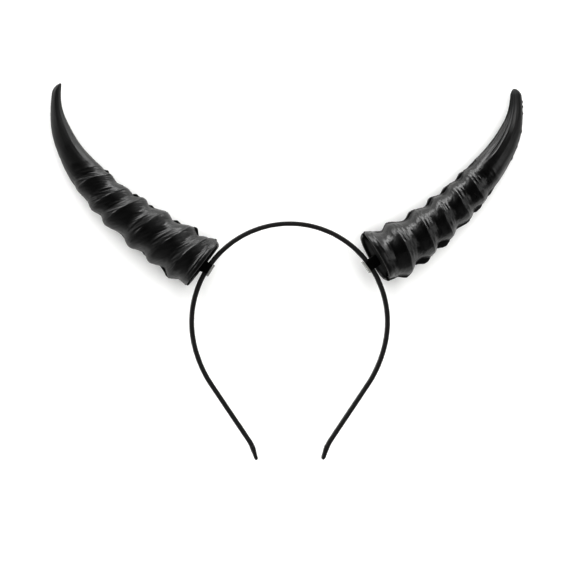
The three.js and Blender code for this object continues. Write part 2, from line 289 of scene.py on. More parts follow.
# Surface of each moulding, in mm and degrees round the half: how dull it is beyond the setting, how
# far the front half's rings are worn, narrow ridges beyond each ring's crest and beyond the rim, the
# heights of the layers below, lengthwise ridges on the tip, and the flange along the seam
RELIEF = {
    "first": {
        "seed": 2,
        "dullness": 0.05,
        "tip_dullness": 0.24,
        "wear": 0.1,
        "ridges": np.array(
            [(0.0, 0.36, 0.7, -20, 172), (2.6, 0.17, 0.7, 8, 150), (5.1, 0.18, 0.9, 10, 150)], RIDGE
        ),
        "rim_ridge": np.array([(3.4, 0.6, 1.0, 8, 112)], RIDGE),
        "stroke": 0.07,
        "slant": 0.0,
        "blotch": 0.06,
        "mottle": 0.1,
        "warp": 0.2,
        "tip_line": 0.05,
        "tip_ridges": np.array([(30, 0.3), (48, 0.34), (68, 0.3), (96, 0.16)], TIP_RIDGE),
        "flange": 0.7,
    },
    "second": {
        "seed": 5,
        "dullness": 0.12,
        "tip_dullness": 0.1,
        "wear": 0.42,
        "ridges": np.array([(0.0, 0.34, 0.6, 10, 168), (5.2, 0.2, 0.9, 40, 150)], RIDGE),
        "rim_ridge": np.array([(0.9, 0.24, 0.35, 8, 160), (2.6, 0.34, 0.5, 15, 150)], RIDGE),
        "stroke": 0.09,
        "slant": 0.28,
        "blotch": 0.02,
        "mottle": 0.04,
        "warp": 0.2,
        "tip_line": 0.04,
        "tip_ridges": np.array([(30, 0.1), (62, 0.12), (104, 0.08)], TIP_RIDGE),
        "flange": 0.3,
    },
}

# Layers of unevenness on every half: share of the moulding's own height, cells in mm along the horn
# and round it, and how much of the layer shows on the body and on the tip
LAYERS = {
    "stroke": np.array(
        [(1.0, 0.8, 6.5, 1, 0.15, 0), (0.5, 0.45, 4.0, 1, 0.15, 3), (1.0, 2.1, 9.0, 1, 0.15, 7)], LAYER
    ),
    "blotch": np.array([(1.0, 0.9, 1.3, 1, 0.2, 5)], LAYER),
    "mottle": np.array([(1.0, 3.0, 4.2, 1, 0.2, 31)], LAYER),
    "warp": np.array([(1.0, 12.0, 10.0, 1, 0.4, 11)], LAYER),
    "tip_line": np.array([(1.0, 26.0, 1.4, 0, 1, 23), (0.7, 17.0, 0.8, 0, 1, 29)], LAYER),
}


def linear(hex_value):
    """Linear red, green and blue of an sRGB hex value."""
    channels = [(hex_value >> shift & 255) / 255 for shift in (16, 8, 0)]
    return tuple(c / 12.92 if c <= 0.04045 else ((c + 0.055) / 1.055) ** 2.4 for c in channels)


class HornSettings(PropertyGroup):
    """Sizes and colour of the horn shells"""

    wall: FloatProperty(
        name="Wall", description="Thickness of the shell, mm", default=1.4, min=0.8, max=3
    )
    seam: FloatProperty(
        name="Seam", description="Width of the parting line, mm", default=0.16, min=0.05, max=0.3
    )
    seam_round: FloatProperty(
        name="Seam Rounding",
        description="Largest radius of the edge along the seam, mm",
        default=2.4,
        min=0.3,
        max=3,
    )
    lip_round: FloatProperty(
        name="Lip Rounding", description="Radius of the base's edge, mm", default=1.1, min=0.2, max=2
    )
    front_rim: FloatProperty(
        name="Front Rim",
        description="How far the front half's lip stands out, mm",
        default=0.0,
        min=0,
        max=2,
    )
    back_rim: FloatProperty(
        name="Back Rim",
        description="How far the back half's lip stands out, mm",
        default=1.2,
        min=0,
        max=2,
    )
    colour: FloatVectorProperty(
        name="Colour", description="Colour of the plastic", subtype="COLOR", default=linear(0x050505)
    )
    roughness: FloatProperty(
        name="Roughness",
        description="Roughness of the moulded surface",
        subtype="FACTOR",
        default=0.25,
        min=0,
        max=1,
    )


class BandSettings(PropertyGroup):
    """Sizes and colours of the ribbon, the blocks and the plates"""

    thread: FloatProperty(
        name="Thread Spacing", description="Spacing of the ribbon's threads, mm", default=0.4, min=0.1, max=1
    )
    ribbon_colour: FloatVectorProperty(
        name="Ribbon Colour", description="Colour of the satin", subtype="COLOR", default=linear(0x1B1A1A)
    )
    block_colour: FloatVectorProperty(
        name="Block Colour", description="Colour of the foam", subtype="COLOR", default=linear(0x030303)
    )
    plate_colour: FloatVectorProperty(
        name="Plate Colour",
        description="Tint of the clear plastic",
        subtype="COLOR",
        default=linear(0xB4B4B0),
    )


class StageSettings(PropertyGroup):
    """The floor, the light and the camera"""

    floor_colour: FloatVectorProperty(
        name="Floor Colour", description="Colour of the floor", subtype="COLOR", default=linear(0xF4F4F3)
    )
    camera_distance: FloatProperty(
        name="Camera Distance", description="From the band to the lens", default=2.2, unit="LENGTH"
    )
    camera_tilt: FloatProperty(
        name="Camera Tilt",
        description="Turn of the camera to the left of straight above",
        subtype="ANGLE",
        default=math.radians(5.5),
    )


# Shared tools


def crown_centre():
    """Centre of the band's crown in the frame, in mm."""
    low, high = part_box("headband")
    return np.array(
        [
            (low.x + high.x) / 2 / MM,
            high.y / MM - CROWN_RADIUS - BAND_THICKNESS / 2,
            (low.z + high.z) / 2 / MM,
        ]
    )


def smooth_step(value):
    """0 below 0, 1 above 1, and a soft rise between."""
    value = np.clip(value, 0, 1)
    return value * value * (3 - 2 * value)


def fade(value, reach):
    """1 below 0, 0 beyond the reach, and a soft fall between."""
    return 1 - smooth_step(value / reach)


def mix(first, second, share):
    """Value between the first, at 0, and the second, at 1."""
    return first * (1 - share) + second * share


def noise(x, y, seed):
    """Smooth noise between -1 and 1, with one cell to each unit of x and y."""
    x, y = np.broadcast_arrays(x, y)
    cell_x, cell_y = np.floor(x), np.floor(y)
    share_x, share_y = smooth_step(x - cell_x), smooth_step(y - cell_y)

    def corner(step_x, step_y):
        value = np.sin((cell_x + step_x) * 127.1 + (cell_y + step_y) * 311.7 + seed * 74.7) * 43758.5453
        return 2 * (value - np.floor(value)) - 1

    near = mix(corner(0, 0), corner(1, 0), share_x)
    far = mix(corner(0, 1), corner(1, 1), share_x)
    return mix(near, far, share_y)


def new_piece(name, points, faces, material, replaced, sharp, layout=None):
    """A finished piece from points in metres: smooth, closed, with its material, riding on the part.

    replaced is the node of the solids that it takes the place of.
    """
    mesh = bpy.data.meshes.new(name)
    mesh.from_pydata([tuple(p) for p in points], [], faces)
    if layout is not None:
        uv_layer = mesh.uv_layers.new(name="layout")
        corners = np.zeros(len(mesh.loops), int)
        mesh.loops.foreach_get("vertex_index", corners)
        uv_layer.data.foreach_set("uv", np.asarray(layout, np.float32)[corners].ravel())
    work = bmesh.new()
    work.from_mesh(mesh)
    bmesh.ops.remove_doubles(work, verts=work.verts, dist=1e-7)
    bmesh.ops.dissolve_degenerate(work, edges=work.edges, dist=1e-8)
    bmesh.ops.recalc_face_normals(work, faces=work.faces)
    work.to_mesh(mesh)
    work.free()
    mesh.polygons.foreach_set("use_smooth", [True] * len(mesh.polygons))
    mesh.set_sharp_from_angle(angle=math.radians(sharp))
    mesh.materials.append(material)
    piece = bpy.data.objects.new(name, mesh)
    bpy.context.scene.collection.objects.link(piece)
    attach(piece, "root")
    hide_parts(replaced)


def add_node(tree, kind, inputs=None, **settings):
    """A node of one kind with its settings; each input takes a value or another node's output."""
    node = tree.nodes.new(kind)
    for name, value in settings.items():
        setattr(node, name, value)
    for name, value in (inputs or {}).items():
        if isinstance(value, bpy.types.NodeSocket):
            tree.links.new(value, node.inputs[name])
        else:
            node.inputs[name].default_value = value
    return node


def new_material(name):
    """An empty material, its node tree and its output node."""
    material = bpy.data.materials.new(name)
    material.use_nodes = True
    material.node_tree.nodes.clear()
    return material, material.node_tree, add_node(material.node_tree, "ShaderNodeOutputMaterial")


# Materials


def moulded_polystyrene(settings, moulding):
    """High-impact polystyrene, injection moulded in one of two hand-textured tools.

    Semi-gloss black. The tool's strokes leave fine streaks that break the edges of reflections,
    and the sheen varies a little where the plastic cooled at a different speed. Each tool gives
    a sheen of its own.
    """
    material, tree, output = new_material(f"black_polystyrene_{moulding}_moulding")
    dull = settings.roughness + RELIEF[moulding]["dullness"]
    place = add_node(tree, "ShaderNodeUVMap", uv_map="layout").outputs["UV"]
    # One unit of the layout is one millimetre: strokes are about 0.7 mm apart and 12 mm long
    strokes = add_node(
        tree,
        "ShaderNodeTexNoise",
        {
            "Vector": add_node(
                tree, "ShaderNodeMapping", {"Vector": place, "Scale": (1.4, 0.085, 1.0)}
            ).outputs["Vector"],
            "Scale": 1.0,
            "Detail": 3.0,
            "Roughness": 0.55,
        },
    )
    # Grain of the eroded tool, about 0.5 mm, drawn coarser than the real 0.1 mm so that it shows
    grain = add_node(
        tree,
        "ShaderNodeTexNoise",
        {
            "Vector": add_node(tree, "ShaderNodeTexCoord").outputs["Object"],
            "Scale": 1 / (0.5 * MM),
            "Detail": 2.0,
        },
    )
    # Patches of duller sheen, about 9 mm across
    patches = add_node(
        tree,
        "ShaderNodeTexNoise",
        {
            "Vector": add_node(tree, "ShaderNodeTexCoord").outputs["Object"],
            "Scale": 1 / (9 * MM),
            "Detail": 3.0,
        },
    )
    dullness = add_node(
        tree,
        "ShaderNodeMapRange",
        {
            "Value": patches.outputs["Fac"],
            "From Min": 0.3,
            "From Max": 0.7,
            "To Min": dull - 0.04,
            "To Max": dull + 0.08,
        },
    )
    # The tip is duller, and the sunk end wall is dullest, rubbed and smeared with glue
    row = add_node(tree, "ShaderNodeSeparateXYZ", {"Vector": place}).outputs["X"]
    on_tip = add_node(
        tree,
        "ShaderNodeMapRange",
        {
            "Value": row,
            "From Min": TIP_SHEEN_START,
            "From Max": TIP_SHEEN_END,
            "To Max": RELIEF[moulding]["tip_dullness"],
        },
    )
    dullness = add_node(
        tree, "ShaderNodeMath", {0: dullness.outputs["Result"], 1: on_tip.outputs["Result"]}, operation="ADD"
    )
    on_wall = add_node(
        tree, "ShaderNodeMath", {0: row, 1: -END_WALL_SHIFT / 2}, operation="LESS_THAN"
    ).outputs["Value"]
    sheen_level = add_node(tree, "ShaderNodeMapRange", {"Value": on_wall, "To Min": 0.5, "To Max": 0.42})
    dullness = add_node(
        tree,
        "ShaderNodeMath",
        {0: dullness.outputs["Value"], 1: on_wall},
        operation="MAXIMUM",
        use_clamp=True,
    )
    tone = add_node(
        tree,
        "ShaderNodeMix",
        {
            "Factor": strokes.outputs["Fac"],
            "A": (*[c * 0.75 for c in settings.colour], 1),
            "B": (*[c * 1.3 for c in settings.colour], 1),
        },
        data_type="RGBA",
    )
    stroke_bump = add_node(
        tree,
        "ShaderNodeBump",
        {"Height": strokes.outputs["Fac"], "Strength": 0.35, "Distance": 0.12 * MM},
    )
    bump = add_node(
        tree,
        "ShaderNodeBump",
        {
            "Height": grain.outputs["Fac"],
            "Strength": 0.18,
            "Distance": 0.03 * MM,
            "Normal": stroke_bump.outputs["Normal"],
        },
    )
    shader = add_node(
        tree,
        "ShaderNodeBsdfPrincipled",
        {
            "Base Color": tone.outputs["Result"],
            "Roughness": dullness.outputs["Value"],
            "Normal": bump.outputs["Normal"],
            "IOR": 1.59,
            "Specular IOR Level": sheen_level.outputs["Result"],
        },
    )
    tree.links.new(shader.outputs["BSDF"], output.inputs["Surface"])
    return material


def woven_satin(settings):
    """Polyester satin ribbon, woven with floating threads and glued on under tension.

    Near black, with a soft sheen across the threads and a fine rib that follows the band.
    """
    material, tree, output = new_material("black_woven_polyester_satin")
    place = add_node(tree, "ShaderNodeUVMap", uv_map="layout").outputs["UV"]
    parts = add_node(tree, "ShaderNodeSeparateXYZ", {"Vector": place})
    # The real threads are 0.12 mm apart; they are drawn at the setting's coarser spacing
    turn = 2 * math.pi / settings.thread
    ribs = [
        add_node(
            tree,
            "ShaderNodeMath",
            {
                0: add_node(
                    tree,
                    "ShaderNodeMath",
                    {0: parts.outputs[axis], 1: turn * share},
                    operation="MULTIPLY",
                ).outputs["Value"]
            },
            operation="SINE",
        ).outputs["Value"]
        for axis, share in (("X", 0.5), ("Y", 1.0))
    ]
    weave = add_node(tree, "ShaderNodeMath", {0: ribs[0], 1: ribs[1]}, operation="MULTIPLY")
    shade = add_node(
        tree,
        "ShaderNodeTexNoise",
        {
            "Vector": add_node(
                tree, "ShaderNodeMapping", {"Vector": place, "Scale": (0.12, 1.6, 1.0)}
            ).outputs["Vector"],
            "Scale": 1.0,
            "Detail": 3.0,
        },
    )
    tone = add_node(
        tree,
        "ShaderNodeMix",
        {
            "Factor": shade.outputs["Fac"],
            "A": (*[c * 0.6 for c in settings.ribbon_colour], 1),
            "B": (*[c * 1.5 for c in settings.ribbon_colour], 1),
        },
        data_type="RGBA",
    )
    dullness = add_node(
        tree,
        "ShaderNodeMapRange",
        {"Value": shade.outputs["Fac"], "From Min": 0.3, "From Max": 0.7, "To Min": 0.42, "To Max": 0.56},
    )
    bump = add_node(
        tree,
        "ShaderNodeBump",
        {"Height": weave.outputs["Value"], "Strength": 0.3, "Distance": 0.04 * MM},
    )
    shader = add_node(
        tree,
        "ShaderNodeBsdfPrincipled",
        {
            "Base Color": tone.outputs["Result"],
            "Roughness": dullness.outputs["Result"],
            "Normal": bump.outputs["Normal"],
            "IOR": 1.5,
            "Specular IOR Level": 0.35,
        },
    )
    tree.links.new(shader.outputs["BSDF"], output.inputs["Surface"])
    return material


def cut_foam(settings):
    """Dense EVA foam, cut to shape and glued.

    Jet black and dull: its closed cells, about 0.4 mm across, scatter what little light it gives.
    """
    material, tree, output = new_material("black_cut_eva_foam")
    cells = add_node(
        tree,
        "ShaderNodeTexVoronoi",
        {
            "Vector": add_node(tree, "ShaderNodeTexCoord").outputs["Object"],
            "Scale": 1 / (0.4 * MM),
        },
    )
    tone = add_node(
        tree,
        "ShaderNodeMix",
        {
            "Factor": cells.outputs["Distance"],
            "A": (*[c * 0.6 for c in settings.block_colour], 1),
            "B": (*[c * 1.6 for c in settings.block_colour], 1),
        },
        data_type="RGBA",
    )
    bump = add_node(
        tree,
        "ShaderNodeBump",
        {"Height": cells.outputs["Distance"], "Strength": 0.6, "Distance": 0.12 * MM},
    )
    shader = add_node(
        tree,
        "ShaderNodeBsdfPrincipled",
        {
            "Base Color": tone.outputs["Result"],
            "Roughness": 0.85,
            "Normal": bump.outputs["Normal"],
            "IOR": 1.45,
            "Specular IOR Level": 0.1,
        },
    )
    tree.links.new(shader.outputs["BSDF"], output.inputs["Surface"])
    return material


def clear_acrylic(settings):
    """Clear acrylic, injection moulded in small plates.

    Pale and see-through, with soft flow marks about 2 mm apart and rounded bright edges.
    """
    material, tree, output = new_material("clear_moulded_acrylic")
    flow = add_node(
        tree,
        "ShaderNodeTexNoise",
        {
            "Vector": add_node(tree, "ShaderNodeTexCoord").outputs["Object"],
            "Scale": 1 / (2 * MM),
            "Detail": 2.0,
        },
    )
    dullness = add_node(
        tree,
        "ShaderNodeMapRange",
        {"Value": flow.outputs["Fac"], "From Min": 0.3, "From Max": 0.7, "To Min": 0.12, "To Max": 0.26},
    )
    bump = add_node(
        tree,
        "ShaderNodeBump",
        {"Height": flow.outputs["Fac"], "Strength": 0.25, "Distance": 0.05 * MM},
    )
    shader = add_node(
        tree,
        "ShaderNodeBsdfPrincipled",
        {
            "Base Color": (*settings.plate_colour, 1),
            "Roughness": dullness.outputs["Result"],
            "Normal": bump.outputs["Normal"],
            "IOR": 1.49,
            "Transmission Weight": 0.5,
        },
    )
    tree.links.new(shader.outputs["BSDF"], output.inputs["Surface"])
    return material


def painted_board(settings):
    """Painted board for the floor: pale and matt, with a faint 3 mm unevenness."""
    material, tree, output = new_material("pale_painted_board")
    roll = add_node(
        tree,
        "ShaderNodeTexNoise",
        {
            "Vector": add_node(tree, "ShaderNodeTexCoord").outputs["Object"],
            "Scale": 1 / (3 * MM),
            "Detail": 2.0,
        },
    )
    bump = add_node(
        tree,
        "ShaderNodeBump",
        {"Height": roll.outputs["Fac"], "Strength": 0.05, "Distance": 0.05 * MM},
    )
    shader = add_node(
        tree,
        "ShaderNodeBsdfPrincipled",
        {
            "Base Color": (*settings.floor_colour, 1),
            "Roughness": 0.9,
            "Specular IOR Level": 0.1,
            "Normal": bump.outputs["Normal"],
        },
    )
    tree.links.new(shader.outputs["BSDF"], output.inputs["Surface"])
    return material


# Horn shells


def smooth_column(rows, column, along):
    """Value of a table's column at places along it, on a smooth curve through its rows."""
    places, values = rows["along"], rows[column]
    last = len(places) - 1
    i = np.clip(np.searchsorted(places, along) - 1, 0, last - 1)
    before, after = np.maximum(i - 1, 0), np.minimum(i + 2, last)
    span = places[i + 1] - places[i]
    t = (along - places[i]) / span
    slope_a = (values[i + 1] - values[before]) / (places[i + 1] - places[before]) * span
    slope_b = (values[after] - values[i]) / (places[after] - places[i]) * span
    return (
        values[i] * (2 * t**3 - 3 * t**2 + 1)
        + slope_a * (t**3 - 2 * t**2 + t)
        + values[i + 1] * (3 * t**2 - 2 * t**3)
        + slope_b * (t**3 - t**2)
    )


def horn_course(horn, along):
    """The horn's middle line: x, y and turn at places along it."""
    places = np.linspace(0, 1, COURSE_STEPS + 1)
    turn = np.radians(smooth_column(horn["sections"], "turn", places))
    middle = (turn[1:] + turn[:-1]) / 2
    step = horn["length"] / COURSE_STEPS
    x = np.concatenate([[0], np.cumsum(step * np.cos(middle))])
    y = np.concatenate([[0], np.cumsum(step * np.sin(middle))])
    return [np.interp(along, places, column) for column in (x, y, turn)]


def horn_frame(horn):
    """Matrix from the horn's base frame to the frame of the part, in mm."""
    seat = math.radians(horn["seat_angle"])
    reach = CROWN_RADIUS + BAND_THICKNESS / 2 + horn["stand_off"]
    place = crown_centre() + reach * np.array([math.cos(seat), math.sin(seat), 0])
    matrix = Matrix.Translation(place)
    matrix = matrix @ Matrix.Rotation(math.radians(horn["heading"]), 4, "Z")
    matrix = matrix @ Matrix.Rotation(math.radians(horn["lean"]), 4, "Y")
    if horn["turned_over"]:
        matrix = matrix @ Matrix.Rotation(math.pi, 4, "X")
    return np.array(matrix)


def swell(share):
    """Height of a ring from its crest, at 0, to the hollow beside it, at 1."""
    return (1 + np.cos(math.pi * np.clip(share, 0, 1))) / 2


def ring_surface(rings, angle):
    """Places along the horn and rises over its core, row by row, and the crest of each ring."""
    outside = (1 - np.cos(angle)) / 2
    crests = [mix(r["inside"], r["outside"], outside) + r["bow"] * np.sin(angle) for r in rings]
    rises = [mix(r["rise_inside"], r["rise_outside"], outside) for r in rings]
    hollow = mix(HOLLOW_INSIDE, HOLLOW_OUTSIDE, outside)
    along, height = [], []
    for i in range(len(rings) - 1):
        apart = crests[i + 1] - crests[i]
        slope_before = np.maximum(hollow * apart, LEAST_SLOPE)
        slope_after = np.maximum((1 - hollow) * apart, LEAST_SLOPE)
        for part in np.arange(RING_STEPS) / RING_STEPS:
            before = rises[i] * swell(part * apart / slope_before)
            after = rises[i + 1] * swell((1 - part) * apart / slope_after)
            along.append(mix(crests[i], crests[i + 1], part))
            height.append(np.maximum(before, after))
    for part in np.sin(np.linspace(0, math.pi / 2, TIP_STEPS + 1)):
        along.append(mix(crests[-1], 1, part))
        height.append(rises[-1] * swell(part / LAST_RING_FADE))
    return np.array(along), np.array(height), np.array(crests)


def moulding_size(horn, moulding, angle, wear=0.0):
    """Places along the horn, half widths in mm and crests of one moulding, before its low relief."""
    along, height, crests = ring_surface(MOULDINGS[moulding], angle)
    core = smooth_column(horn["sections"], "width", along)
    extra = mix(*EXTRA_SIZE[moulding], (1 - np.cos(angle)) / 2)
    # The rings are worn lower along the middle of each half
    worn = 1 - wear * np.sin(angle) ** 2
    return along, (core + height * worn) * horn["base_diameter"] / 2 + extra, crests


def bump(away, breadth):
    """1 at the middle of a bump and near 0 a breadth or two away from it."""
    return np.exp(-((away / breadth) ** 2))


def ridge_relief(ridges, beyond, angle, seed):
    """Narrow ridges at their offsets beyond a crest, each over its own stretch round the half."""
    relief = np.zeros_like(beyond)
    for ridge in ridges:
        start, end = math.radians(ridge["from_angle"]), math.radians(ridge["to_angle"])
        reach = smooth_step((angle - start) / RIDGE_FADE_IN) * smooth_step((end - angle) / RIDGE_FADE_OUT)
        away = beyond - ridge["offset"]
        breadth = np.where(away < 0, STEEP_SIDE, GENTLE_SIDE) * ridge["breadth"]
        uneven = 1 + 0.7 * noise(angle * 2.6 + 0 * beyond, ridge["offset"] * 1.7, seed)
        relief += ridge["height"] * uneven * reach * bump(away, breadth)
    return relief


def low_relief(style, horn, front, along, crests, angle, full):
    """Relief of a half, in mm: uneven layers, ridges beside the rings and on the tip, flash."""
    seed, length = style["seed"], horn["length"]
    place = along * length
    row_place = place[:, along.shape[1] // 2][:, None]
    round_place = angle * full
    on_tip = smooth_step((along - TIP_START) / 0.12)

    relief = np.zeros_like(full)
    for kind, layers in LAYERS.items():
        cell_place = row_place - style["slant"] * round_place if kind == "stroke" else row_place
        for layer in layers:
            cells = noise(
                cell_place / layer["cell_along"], round_place / layer["cell_round"], seed + layer["seed"]
            )
            shown = mix(layer["on_body"], layer["on_tip"], on_tip)
            relief += style[kind] * layer["share"] * shown * cells

    for i, crest in enumerate(crests):
        ridges = style["ridges"] if i else style["rim_ridge"]
        wander = 0.35 * noise(round_place / 8.0, np.full_like(round_place, i), seed + 19)
        share = (1 if i < len(crests) - 1 else LAST_RIDGES) * (1 if front else BACK_RIDGES)
        relief += share * ridge_relief(ridges, place - crest * length + wander, angle, seed + i)
    for ridge in style["tip_ridges"]:
        away = (angle - math.radians(ridge["turn"])) * full
        relief += ridge["height"] * bump(away, 0.5) * smooth_step((along - TIP_RIDGES_START) / 0.1)
    for speck in horn["front_flash" if front else "back_flash"]:
        away = np.hypot(place - speck["along"] * length, (angle - math.radians(speck["turn"])) * full)
        relief += speck["height"] * bump(away, speck["breadth"])
    relief += style["flange"] * bump(full * np.sin(angle), FLANGE_BREADTH)
    return relief * smooth_step((1 - along) / 0.03)


def section_points(horn, side, half_seam, along, full, around, edge_round):
    """Points of a half's sections: full is their half width, before the tip's rounding."""
    x, y, turn = horn_course(horn, np.clip(along, 0, 1))
    beyond = np.minimum(along, 0) * horn["length"]
    round_share = horn["tip_round"] / horn["length"]
    round_part = np.clip((along - 1 + round_share) / round_share, 0, 1)
    kept = np.sqrt(np.maximum(1 - round_part**2, 0))
    # Towards the tip the section's ridge lies nearer the outside of the bend
    shift = horn["ridge_shift"] * smooth_step((along - RIDGE_SHIFT_START) / 0.18)
    height = np.maximum(full * kept * HORN_DEPTH - half_seam, 0)
    depth = height * np.sin(around - shift * np.sin(around))
    rounding = np.minimum(edge_round, full * kept / 3) + 1e-9
    short = np.maximum(1 - depth / rounding, 0)
    cut = rounding * (1 - np.sqrt(1 - short**2))
    across = (full * kept - cut) * np.cos(around) + horn["tip_skew"] * full * (1 - kept)
    return np.stack(
        [
            x + beyond * np.cos(turn) - np.sin(turn) * across,
            y + beyond * np.sin(turn) + np.cos(turn) * across,
            side * (half_seam + depth),
        ],
        axis=-1,
    )


def end_rows(rim_full, wall_lean, rim_place, lip_round, length):
    """Places and half widths at the base, from the middle outwards: sunk wall, step, flat lip and
    rounding. The wall leans by wall_lean at the rim, which has its own place.
    """
    lip_inside = rim_full - lip_round - LIP_FLAT
    rows = [
        (WALL_SUNK / length + wall_lean * share, (lip_inside - STEP_BREADTH) * share)
        for share in np.linspace(0, 1, WALL_ROWS)
    ]
    rows.append(((WALL_SUNK - STEP_HEIGHT) / length + wall_lean, lip_inside))
    rows.append((LIP_HOLLOW / length + rim_place, lip_inside))
    for turn in np.linspace(0, math.pi / 2, LIP_ROWS, endpoint=False):
        place = lip_round / length * (1 - math.cos(turn)) + rim_place
        rows.append((place, rim_full - lip_round * (1 - math.sin(turn))))
    return [np.array(column) for column in zip(*rows)]


def standing_out(horn, moulding, along, full):
    """How far a half stands out past the other one along the seam, in mm."""
    other = "second" if moulding == "first" else "first"
    other_along, other_full = moulding_size(horn, other, np.array([0, math.pi]))[:2]
    out = np.zeros_like(full)
    for edge, direction in ((0, 1), (-1, -1)):
        past = full[:, edge] - np.interp(along[:, edge], other_along[:, edge], other_full[:, edge])
        out += np.maximum(past, 0)[:, None] * np.maximum(direction * np.cos(HALF_TURN), 0)
    return out


def hollow_rows(along, full, rim_full, wall_lean, base_rows, wall, length):
    """Places and half widths of the hollow: a wall's thickness inside the outside that is given,
    behind the end wall and closed before the tip.
    """
    shares = np.linspace(0, 1, base_rows)[:, None]
    floor = (WALL_SUNK + wall) / length + wall_lean * shares
    along = np.concatenate([floor, np.maximum(along[base_rows:], floor[-1])])
    full = np.concatenate([(rim_full - wall) * shares, full[base_rows:] - wall])
    shut = np.clip((along - HOLLOW_NARROWS) / (HOLLOW_ENDS - HOLLOW_NARROWS), 0, 1)
    return np.minimum(along, HOLLOW_ENDS), np.maximum(full * np.sqrt(1 - shut**2), 0)


def shell_faces(row_count):
    """Faces of a half: its outside, its hollow and the flat rim between them on the seam."""
    columns = len(HALF_TURN)
    inner_start = row_count * columns
    faces = []
    for start, count in ((0, columns), (inner_start, INNER_COLUMNS)):
        for i in range(row_count - 1):
            for first in range(start + i * count, start + (i + 1) * count - 1):
                faces.append((first, first + 1, first + count + 1, first + count))
    for outer_column, inner_column in ((0, 0), (columns - 1, INNER_COLUMNS - 1)):
        for i in range(row_count - 1):
            outer = i * columns + outer_column
            inner = inner_start + i * INNER_COLUMNS + inner_column
            faces.append((outer, outer + columns, inner + INNER_COLUMNS, inner))
    return faces


def horn_half(horn, moulding, front, settings):
    """Points, faces and layout of one half of a horn, in the horn's own frame and in mm.

    It has a rounded lip round a sunk end wall at the base, a hollow, and a flat rim on the seam.
    front says whether it is the half that faces the viewer.
    """
    side = 1 if moulding == "first" else -1
    style, length, angle = RELIEF[moulding], horn["length"], HALF_TURN
    along, full, crests = moulding_size(horn, moulding, angle, style["wear"] if front else 0.0)
    full = full + low_relief(style, horn, front, along, crests, angle, full)
    # Both corners by the seam are cut back: the corner inside the bend and the heel outside it
    from_end = along * length
    full -= horn["corner_cut"] * fade(angle, CORNER_TURN) * fade(from_end, CORNER_LENGTH)
    full -= horn["heel_cut"] * fade(math.pi - angle, HEEL_TURN) * fade(from_end, HEEL_LENGTH)

    # The end's plane isn't quite square to the horn, and lies back at the corner inside the bend
    rim_full = full[0]
    wall_lean = horn["corner_recess"] / length * fade(angle, RECESS_TURN)
    wall_lean -= math.tan(math.radians(horn["end_turn"])) * rim_full * np.cos(angle) / length
    rim_place = wall_lean - (settings.front_rim if front else settings.back_rim) / length
    along += (settings.lip_round / length + rim_place) * fade(from_end, RIM_BLEND)
    end_along, end_full = end_rows(rim_full, wall_lean, rim_place, settings.lip_round, length)
    end_count = len(end_full)

    # Where this half stands out past the other along the seam, its wall is thicker and its edge rounder
    stands_out = np.concatenate([0 * end_full, standing_out(horn, moulding, along, full)])
    along, full = np.concatenate([end_along, along]), np.concatenate([end_full, full])
    edge_round = np.minimum(EDGE_ROUND + EDGE_ROUND_GROWTH * stands_out, settings.seam_round)
    outer = section_points(horn, side, settings.seam / 2, along, full, angle, edge_round)
    outer[-1] = outer[-1].mean(axis=0)

    pick = np.linspace(0, len(angle) - 1, INNER_COLUMNS).astype(int)
    inner_along, inner_full = hollow_rows(
        along[:, pick],
        (full - stands_out)[:, pick],
        rim_full[pick],
        wall_lean[pick],
        end_count,
        settings.wall,
        length,
    )
    inner = section_points(horn, side, settings.seam / 2, inner_along, inner_full, angle[pick], 0.0)

    row_place = along[:, len(angle) // 2][:, None] * length + 0 * full
    # The end wall lies apart from the body in the layout, so that the material can tell it
    row_place[: WALL_ROWS + 1] -= END_WALL_SHIFT
    layout = np.stack([row_place, angle * full], axis=-1).reshape(-1, 2)
    inner_layout = np.stack([inner_along * length, angle[pick] * inner_full], axis=-1).reshape(-1, 2)
    return (
        np.concatenate([outer.reshape(-1, 3), inner.reshape(-1, 3)]),
        shell_faces(len(outer)),
        np.concatenate([layout, inner_layout]),
    )


def place_points(points, matrix):
    """Points in mm through a matrix in mm, as metres."""
    return (points @ matrix[:3, :3].T + matrix[:3, 3]) * MM


class HORNS_OT_shells(Operator):
    """Build both horns, each from a front and a back moulding"""

    bl_idname = "horns.shells"
    bl_label = "Horn Shells"

    def execute(self, context):
        settings = context.scene.horn_settings
        materials = {moulding: moulded_polystyrene(settings, moulding) for moulding in MOULDINGS}
        for horn_side, horn in HORNS.items():
            matrix = horn_frame(horn)
            for moulding in MOULDINGS:
                front = (moulding == "first") != horn["turned_over"]
                name = f"{horn_side}_horn_{'front' if front else 'back'}"
                points, faces, layout = horn_half(horn, moulding, front, settings)
                new_piece(
                    f"{name}_moulding",
                    place_points(points, matrix),
                    faces,
                    materials[moulding],
                    replaced=f"{name}_shell",
                    sharp=50,
                    layout=layout,
                )
        return {"FINISHED"}


# Headband

BAND_STRETCHES = (
    (CROWN_RADIUS * math.radians(CROWN_SWEEP), math.radians(CROWN_SWEEP)),
    (SIDE_RADIUS * math.radians(SIDE_SWEEP), math.radians(SIDE_SWEEP)),
    (ARM_LENGTH, 0.0),
    (END_RADIUS * math.radians(END_SWEEP), -math.radians(END_SWEEP)),
    (END_LENGTH, 0.0),
)
HALF_BAND = sum(length for length, turn in BAND_STRETCHES)


def band_course(distance):
    """Point of the band's middle line and its outward direction, a distance down the right side."""
    x, y, heading, left = 0.0, CROWN_RADIUS, 0.0, distance
    for length, whole_turn in BAND_STRETCHES:
        part = min(left, length)
        turn = whole_turn * part / length
        chord = part if turn == 0 else part * math.sin(turn / 2) / (turn / 2)
        x += chord * math.cos(heading - turn / 2)
        y += chord * math.sin(heading - turn / 2)
        heading -= turn
        left -= part
        if left <= 0:
            break
    return np.array([x, y]), np.array([-math.sin(heading), math.cos(heading)])


